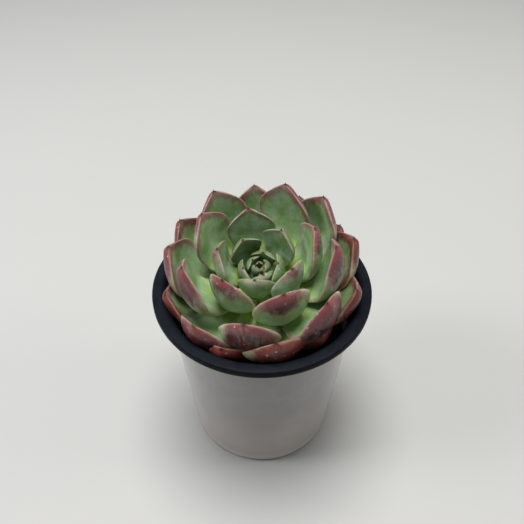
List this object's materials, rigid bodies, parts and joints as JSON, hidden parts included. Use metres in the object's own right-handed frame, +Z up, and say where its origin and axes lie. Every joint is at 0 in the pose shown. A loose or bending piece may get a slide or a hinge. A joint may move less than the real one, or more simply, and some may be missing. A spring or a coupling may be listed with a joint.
{
  "type": "potted succulent",
  "caption": "Echeveria rosette of thick pointed leaves on a short stem, in soil in a tapered plastic nursery pot with a flat rim and low feet.",
  "frame": {"origin": "centre of the pot's underside, on the surface that it stands on", "axes": "+Z up along the pot's axis, -Y the front, as seen in the picture, +X to the viewer's right"},
  "size_m": [0.09, 0.09, 0.1232],
  "materials": {
    "pot_plastic": "glossy white outside, black inside and on the rim",
    "potting_soil": "matt dark grains",
    "young_leaf": "waxy, blue-green",
    "mid_leaf": "waxy, green with a red edge",
    "old_leaf": "waxy, red-brown towards the tip"
  },
  "bodies": {
    "root": {"pot": "pot_plastic", "soil": "potting_soil", "stem_and_heart": "young_leaf", "leaf_08": "young_leaf", "leaf_09": "young_leaf", "leaf_10": "young_leaf", "leaf_11": "young_leaf", "leaf_12": "young_leaf", "leaf_13": "young_leaf", "leaf_14": "young_leaf", "leaf_15": "young_leaf", "leaf_16": "mid_leaf", "leaf_17": "mid_leaf", "leaf_18": "mid_leaf", "leaf_19": "mid_leaf", "leaf_20": "mid_leaf", "leaf_21": "mid_leaf", "leaf_22": "mid_leaf", "leaf_23": "mid_leaf", "leaf_24": "mid_leaf", "leaf_25": "mid_leaf", "leaf_26": "mid_leaf", "leaf_27": "mid_leaf", "leaf_28": "mid_leaf", "leaf_29": "mid_leaf", "leaf_30": "old_leaf", "leaf_31": "old_leaf", "leaf_32": "old_leaf", "leaf_33": "old_leaf", "leaf_34": "old_leaf", "leaf_35": "old_leaf", "leaf_36": "old_leaf", "leaf_37": "old_leaf", "leaf_38": "old_leaf", "leaf_39": "old_leaf", "leaf_40": "old_leaf", "leaf_41": "old_leaf", "leaf_42": "old_leaf"}
  },
  "joints": []
}
